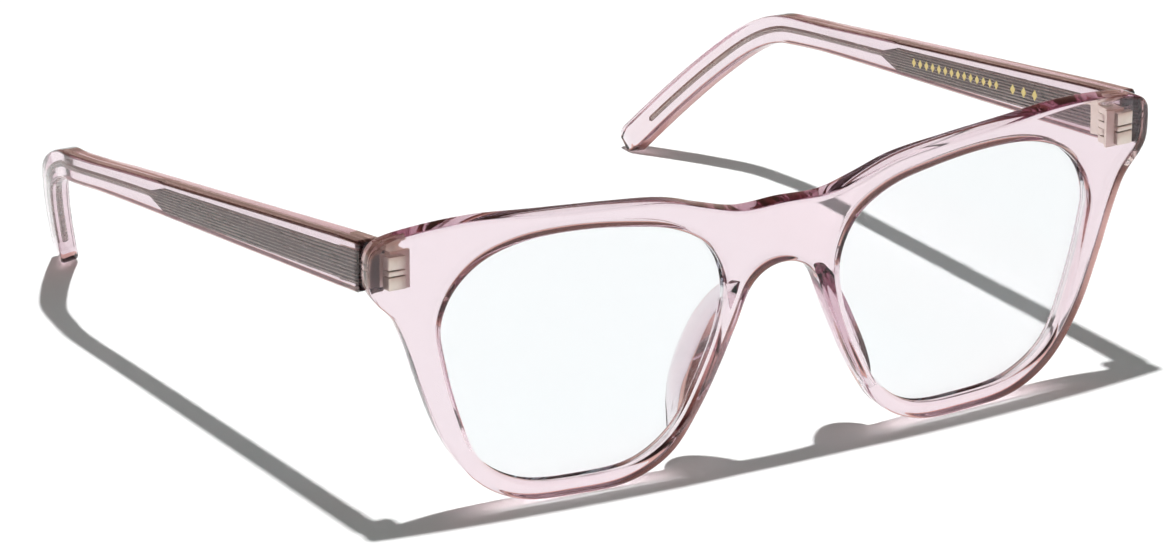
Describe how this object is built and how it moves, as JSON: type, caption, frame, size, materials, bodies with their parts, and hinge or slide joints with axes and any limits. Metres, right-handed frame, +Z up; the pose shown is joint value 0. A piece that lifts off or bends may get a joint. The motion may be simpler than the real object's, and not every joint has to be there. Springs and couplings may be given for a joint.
{
  "type": "blue light glasses",
  "caption": "Full-rim clear pink acetate eyeglasses with a keyhole bridge, blue light filtering lenses, wire-core temples and folding barrel hinges.",
  "frame": {"origin": "centre of the bounding box's bottom, on the surface that the open glasses stand on", "axes": "+Z up, the front faces -Y, the temples run to +Y, +X is the wearer's left"},
  "size_m": [0.1378, 0.1402, 0.0472],
  "materials": {
    "acetate": "polished clear pale pink acetate",
    "lens": "clear, faint cool tint, anti-reflection coating",
    "core_metal": "fine lengthwise ribs",
    "hinge_metal": "nickel silver, satin",
    "screw_metal": "plain steel"
  },
  "bodies": {
    "front": {"front_frame": "acetate", "lens_left": "lens", "lens_right": "lens", "nose_pad_left": "acetate", "nose_pad_right": "acetate", "front_hinge_left": "hinge_metal", "front_hinge_right": "hinge_metal", "hinge_screw_left": "screw_metal", "hinge_screw_right": "screw_metal"},
    "left_temple": {"temple_left": "acetate", "core_wire_left": "core_metal", "temple_hinge_left": "hinge_metal"},
    "right_temple": {"temple_right": "acetate", "core_wire_right": "core_metal", "temple_hinge_right": "hinge_metal"}
  },
  "joints": [
    {"name": "left_fold", "type": "hinge", "parent": "front", "child": "left_temple", "pos_m": [0.0632, -0.0596, 0.0407], "axis": [0, 0, 1], "range_deg": [0, 87]},
    {"name": "right_fold", "type": "hinge", "parent": "front", "child": "right_temple", "pos_m": [-0.0632, -0.0596, 0.0407], "axis": [0, 0, -1], "range_deg": [0, 78]}
  ]
}
